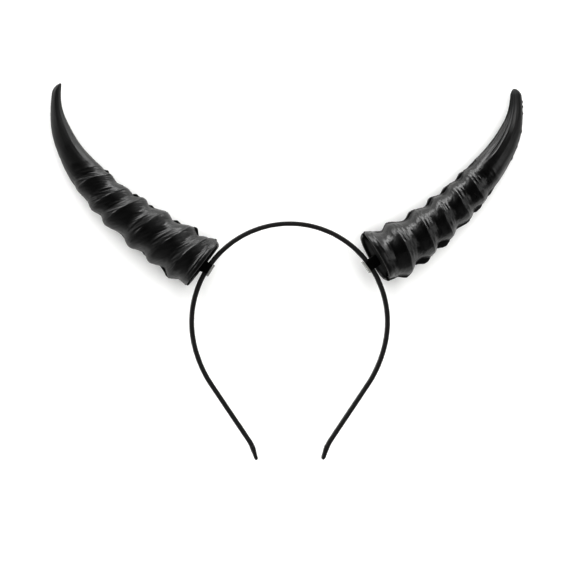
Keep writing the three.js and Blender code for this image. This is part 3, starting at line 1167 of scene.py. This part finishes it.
class HORNS_OT_headband(Operator):
    """Build the springy band with its satin ribbon, folded over at both ends"""

    bl_idname = "horns.headband"
    bl_label = "Ribbon-covered Band"

    def execute(self, context):
        material = woven_satin(context.scene.band_settings)
        columns = 40
        centre = crown_centre()
        around = np.linspace(0, 2 * math.pi, columns, endpoint=False)
        # Superellipse section: flat faces, soft corners
        cos, sin = np.cos(around), np.sin(around)
        across = np.sign(cos) * np.abs(cos) ** 0.55
        up = np.sign(sin) * np.abs(sin) ** 0.4
        distances = np.concatenate(
            [
                np.linspace(0, HALF_BAND - FOLD_LENGTH - 0.6, 190),
                HALF_BAND - FOLD_LENGTH + np.array([-0.35, -0.15, 0.0, 0.2, 0.6]),
                np.linspace(HALF_BAND - FOLD_LENGTH + 1.2, HALF_BAND - 2.4, 12),
                HALF_BAND - 2.2 * (1 - np.sin(np.linspace(0.1, math.pi / 2, 10))),
            ]
        )
        stations = [(d, -1) for d in distances[:0:-1]] + [(d, 1) for d in distances]
        points, layout = [], []
        for distance, side in stations:
            (x, y), (out_x, out_y) = band_course(distance)
            fold = smooth_step((distance - HALF_BAND + FOLD_LENGTH + 0.35) / 0.35)
            taper = 1 - 0.24 * smooth_step((distance - HALF_BAND + 9.0) / 7.0)
            near_end = np.clip((distance - HALF_BAND + 2.2) / 2.2, 0, 1)
            size = taper * math.sqrt(max(1 - 0.98 * near_end**2.4, 0.0001))
            # The fold lies flatter at the left end than on the inner face of the right one
            lift = FOLD_THICKNESS * fold * (np.where(across < 0, 1.2, 0.2) if side == 1 else 0.2)
            thickness = (BAND_THICKNESS / 2 + lift) * size
            width = (BAND_WIDTH / 2 + FOLD_THICKNESS * fold) * (0.35 + 0.65 * size)
            place = side * distance
            # The ribbon's two edges meet along the middle of the inner face
            meeting = np.exp(-(((up * BAND_WIDTH / 2 - 0.5) / 0.28) ** 2)) * (across < 0)
            overlap = 0.12 * (smooth_step((up * BAND_WIDTH / 2 - 0.3) / 0.3)) * (across < -0.2)
            pucker = 0.035 * noise(place / 3.2 + 0 * around, around * 1.6, 41) * (1 + 2.2 * fold)
            pucker = pucker + 0.05 * noise(place / 1.7 + 0 * around, around * 0.9, 43) * (across < 0)
            grown = thickness * across + (pucker - 0.06 * meeting) * across
            grown = grown - overlap * size
            offset_x, offset_y = side * out_x, out_y
            for j in range(columns):
                points.append(
                    (
                        centre[0] + side * x + offset_x * grown[j],
                        centre[1] + y + offset_y * grown[j],
                        centre[2] + width * up[j] + pucker[j] * sin[j] * 0.5,
                    )
                )
                layout.append((place, around[j] * 2.9))
        count = len(stations)
        faces = [tuple(range(columns)), tuple((count - 1) * columns + j for j in range(columns))]
        for i in range(count - 1):
            for j in range(columns):
                k = (j + 1) % columns
                faces.append((i * columns + j, i * columns + k, (i + 1) * columns + k, (i + 1) * columns + j))
        new_piece(
            "satin_covered_band",
            np.array(points) * MM,
            faces,
            material,
            replaced="headband",
            sharp=60,
            layout=layout,
        )
        return {"FINISHED"}


# Blocks and plates

BLOCK_LENGTH = 6.3
BLOCK_DEPTH = 10.0
PLATE_LENGTH = 8.2
PLATE_THICKNESS = 1.1
PLATE_DEPTH = 8.0


def seat_frame(horn):
    """Matrix from a horn's seat on the band to the frame of the part, in mm: X outwards."""
    seat = math.radians(horn["seat_angle"])
    place = crown_centre() + CROWN_RADIUS * np.array([math.cos(seat), math.sin(seat), 0])
    return np.array(Matrix.Translation(place) @ Matrix.Rotation(seat, 4, "Z"))


def soften(points, faces, bevel, cuts, shake, seed):
    """A block's points and faces with rounded edges, a finer mesh and a slightly uneven skin, in mm."""
    work = bmesh.new()
    corners = [work.verts.new(p) for p in points]
    for face in faces:
        work.faces.new([corners[i] for i in face])
    bmesh.ops.recalc_face_normals(work, faces=work.faces)
    bmesh.ops.bevel(
        work, geom=list(work.edges), offset=bevel, segments=3, profile=0.5, affect="EDGES", clamp_overlap=True
    )
    bmesh.ops.triangulate(work, faces=[f for f in work.faces if len(f.verts) > 4])
    bmesh.ops.subdivide_edges(work, edges=list(work.edges), cuts=cuts, use_grid_fill=True)
    work.normal_update()
    for v in work.verts:
        push = noise(np.array(v.co.x * 1.1 + v.co.z * 0.7), np.array(v.co.y * 1.1 - v.co.z * 0.4), seed)
        v.co += v.normal * shake * float(push)
    work.verts.index_update()
    result = [tuple(v.co) for v in work.verts], [tuple(v.index for v in f.verts) for f in work.faces]
    work.free()
    return result


class HORNS_OT_blocks(Operator):
    """Build the saddle block between each horn and the band"""

    bl_idname = "horns.blocks"
    bl_label = "Mounting Blocks"

    def execute(self, context):
        material = cut_foam(context.scene.band_settings)
        inner, outer = -BAND_THICKNESS / 2, BAND_THICKNESS / 2 + CLEARANCE
        slot = BAND_WIDTH / 2 + CLEARANCE
        half = BLOCK_DEPTH / 2
        for side, horn in HORNS.items():
            matrix = seat_frame(horn)
            # The end wall's plane, seen from the seat: how far out it lies at each place on it
            wall_point, wall_normal = horn_frame(horn)[:3, 3], horn_frame(horn)[:3, 0]
            seat_point = matrix[:3, 3]

            def wall_reach(y, z):
                start = seat_point + matrix[:3, 1] * y + matrix[:3, 2] * z
                return float(wall_normal @ (wall_point - start) / (wall_normal @ matrix[:3, 0]))

            profile = [
                (inner, half),
                (None, half),
                (None, -half),
                (inner, -half),
                (inner, -slot),
                (outer, -slot),
                (outer, slot),
                (inner, slot),
            ]
            points = []
            for y in (-BLOCK_LENGTH / 2, BLOCK_LENGTH / 2):
                for x, z in profile:
                    reach = wall_reach(y, z) - CLEARANCE / 2 if x is None else x
                    # The end on the wall side flares a sixth wider: black foam that stands partly for glue
                    # webs by the wall and partly for painted shade in the gap there
                    flare = 1.16 if x is None else 1.0
                    points.append((reach, y * flare, z))
            count = len(profile)
            faces = [tuple(range(count)), tuple(range(2 * count - 1, count - 1, -1))]
            faces += [(i, (i + 1) % count, (i + 1) % count + count, i + count) for i in range(count)]
            points, faces = soften(points, faces, 0.45, 3, 0.07, 61 if side == "left" else 67)
            new_piece(
                f"{side}_foam_block",
                place_points(np.array(points), matrix),
                faces,
                material,
                replaced=f"{side}_mount_block",
                sharp=60,
            )
        return {"FINISHED"}


class HORNS_OT_plates(Operator):
    """Build the small clear plate inside the band at each horn"""

    bl_idname = "horns.plates"
    bl_label = "Retaining Plates"

    def execute(self, context):
        material = clear_acrylic(context.scene.band_settings)
        inner_radius = CROWN_RADIUS - BAND_THICKNESS / 2
        bend = inner_radius - math.sqrt(inner_radius**2 - (PLATE_LENGTH / 2) ** 2)
        outer_x = -BAND_THICKNESS / 2 - CLEARANCE - bend
        inner_x = outer_x - PLATE_THICKNESS
        middle = (outer_x + inner_x) / 2
        for side, horn in HORNS.items():
            # Outline of the plate's edge, with a groove along its front and back
            groove, sunk, half = 0.16, 0.35, PLATE_DEPTH / 2
            profile = [(inner_x, -half), (middle - groove, -half), (middle, -half + sunk)]
            profile += [(middle + groove, -half), (outer_x, -half), (outer_x, half)]
            profile += [(middle + groove, half), (middle, half - sunk)]
            profile += [(middle - groove, half), (inner_x, half)]
            points = [(x, y, z) for y in (-PLATE_LENGTH / 2, PLATE_LENGTH / 2) for x, z in profile]
            count = len(profile)
            faces = [tuple(range(count)), tuple(range(2 * count - 1, count - 1, -1))]
            faces += [(i, (i + 1) % count, (i + 1) % count + count, i + count) for i in range(count)]
            points, faces = soften(points, faces, 0.14, 2, 0.02, 71)
            new_piece(
                f"{side}_clear_plate",
                place_points(np.array(points), seat_frame(horn)),
                faces,
                material,
                replaced=f"{side}_retaining_plate",
                sharp=50,
            )
        return {"FINISHED"}


# Stage

IMAGE_SIZE = 576
MM_PER_PIXEL = 0.63
# Where the crown's centre lies in the picture, in pixels from the top left
CROWN_PIXEL = (289.75, 322.0)


def soft_box(name, place, radiance, size):
    """A rectangular light turned to the middle of the floor, unseen by the camera itself."""
    lamp = bpy.data.lights.new(name, "AREA")
    lamp.shape = "RECTANGLE"
    lamp.size, lamp.size_y = size
    lamp.energy = radiance * math.pi * lamp.size * lamp.size_y
    light = bpy.data.objects.new(name, lamp)
    light.location = place
    light.rotation_euler = (-Vector(place)).to_track_quat("-Z", "Y").to_euler()
    light.visible_camera = False
    bpy.context.scene.collection.objects.link(light)
    return light


class HORNS_OT_stage(Operator):
    """Add the pale floor, the soft light and the camera"""

    bl_idname = "horns.stage"
    bl_label = "Stage"

    def execute(self, context):
        settings = context.scene.stage_settings
        scene = context.scene

        floor_mesh = bpy.data.meshes.new("floor")
        reach = 6.0
        floor_mesh.from_pydata(
            [(-reach, -reach, 0), (reach, -reach, 0), (reach, reach, 0), (-reach, reach, 0)],
            [],
            [(0, 1, 2, 3)],
        )
        floor_mesh.materials.append(painted_board(settings))
        floor = bpy.data.objects.new("floor", floor_mesh)
        scene.collection.objects.link(floor)

        world = bpy.data.worlds.new("studio")
        world.use_nodes = True
        tree = world.node_tree
        tree.nodes.clear()
        height = add_node(
            tree,
            "ShaderNodeSeparateXYZ",
            {"Vector": add_node(tree, "ShaderNodeTexCoord").outputs["Generated"]},
        )
        # Dim walls and a dark ceiling, which is what the tops of the horns reflect
        dim = add_node(
            tree,
            "ShaderNodeMapRange",
            {"Value": height.outputs["Z"], "From Min": 0.1, "From Max": 0.6, "To Min": 0.25, "To Max": 0.0},
            interpolation_type="SMOOTHSTEP",
        )
        background = add_node(
            tree, "ShaderNodeBackground", {"Color": (1, 1, 1, 1), "Strength": dim.outputs["Result"]}
        )
        add_node(tree, "ShaderNodeOutputWorld", {"Surface": background.outputs["Background"]})
        scene.world = world

        # A broad, low soft box beyond the horns draws their rings, weaker ones at the sides draw the
        # tips, and a dim card in front keeps the lower sides from going black
        soft_box("low_left_soft_box", (-1.0, 1.35, 0.38), 7.2, (1.5, 0.7))
        soft_box("low_right_soft_box", (0.65, 1.4, 0.3), 7.0, (1.8, 0.54))
        soft_box("low_strip", (-0.25, 1.7, 0.12), 4.5, (3.4, 0.22))
        soft_box("side_soft_box", (-1.45, 0.4, 0.36), 2.0, (0.9, 0.5))
        soft_box("high_card", (-1.1, 0.45, 1.1), 0.2, (0.9, 0.8))
        soft_box("right_card", (1.35, 0.2, 0.95), 1.7, (0.95, 1.2))
        soft_box("left_card", (-1.0, -0.85, 0.5), 0.45, (0.8, 0.7))
        soft_box("front_card", (0.0, -1.15, 0.95), 0.25, (1.5, 1.5))
        # This one only lights the floor and the ribbon, as if through a sheet that polarises it so
        # that glossy plastic doesn't show it
        overhead = soft_box("overhead_soft_box", (0.0, 0.0, 2.0), 2.5, (3.0, 3.0))
        overhead.visible_glossy = False

        centre = Vector(crown_centre() * MM)
        distance, tilt = settings.camera_distance, settings.camera_tilt
        right = Vector((math.cos(tilt), 0, math.sin(tilt)))
        shift_x = (IMAGE_SIZE / 2 - CROWN_PIXEL[0]) * MM_PER_PIXEL * MM
        shift_y = (CROWN_PIXEL[1] - IMAGE_SIZE / 2) * MM_PER_PIXEL * MM
        target = centre + right * shift_x + Vector((0, shift_y, 0))
        lens = bpy.data.cameras.new("camera")
        lens.sensor_fit = "HORIZONTAL"
        lens.angle = 2 * math.atan(IMAGE_SIZE / 2 * MM_PER_PIXEL * MM / distance)
        lens.clip_end = 50
        camera = bpy.data.objects.new("camera", lens)
        back = Vector((-math.sin(tilt), 0, math.cos(tilt)))
        camera.matrix_world = Matrix.Translation(target + back * distance) @ Matrix(
            (right, Vector((0, 1, 0)), back)
        ).transposed().to_4x4()
        scene.collection.objects.link(camera)
        scene.camera = camera
        scene.view_settings.view_transform = "Standard"
        scene.view_settings.gamma = 0.78
        return {"FINISHED"}


class HORNS_PT_pieces(Panel):
    """Everything that builds the headband"""

    bl_label = "Ram Horns Headband"
    bl_idname = "HORNS_PT_pieces"
    bl_space_type = "VIEW_3D"
    bl_region_type = "UI"
    bl_category = "Horns"

    def draw(self, context):
        layout = self.layout
        scene = context.scene
        for settings, operators in (
            (scene.horn_settings, (HORNS_OT_shells,)),
            (scene.band_settings, (HORNS_OT_headband, HORNS_OT_blocks, HORNS_OT_plates)),
            (scene.stage_settings, (HORNS_OT_stage,)),
        ):
            box = layout.box()
            for name in settings.__annotations__:
                box.prop(settings, name)
            for operator in operators:
                box.operator(operator.bl_idname)


CLASSES = (
    HornSettings,
    BandSettings,
    StageSettings,
    HORNS_OT_shells,
    HORNS_OT_headband,
    HORNS_OT_blocks,
    HORNS_OT_plates,
    HORNS_OT_stage,
    HORNS_PT_pieces,
)


def register():
    for cls in CLASSES:
        bpy.utils.register_class(cls)
    bpy.types.Scene.horn_settings = PointerProperty(type=HornSettings)
    bpy.types.Scene.band_settings = PointerProperty(type=BandSettings)
    bpy.types.Scene.stage_settings = PointerProperty(type=StageSettings)


def unregister():
    del bpy.types.Scene.stage_settings
    del bpy.types.Scene.band_settings
    del bpy.types.Scene.horn_settings
    for cls in reversed(CLASSES):
        bpy.utils.unregister_class(cls)


def main():
    register()
    for build in (
        bpy.ops.horns.stage,
        bpy.ops.horns.shells,
        bpy.ops.horns.headband,
        bpy.ops.horns.blocks,
        bpy.ops.horns.plates,
    ):
        build()


if __name__ == "__main__":
    main()
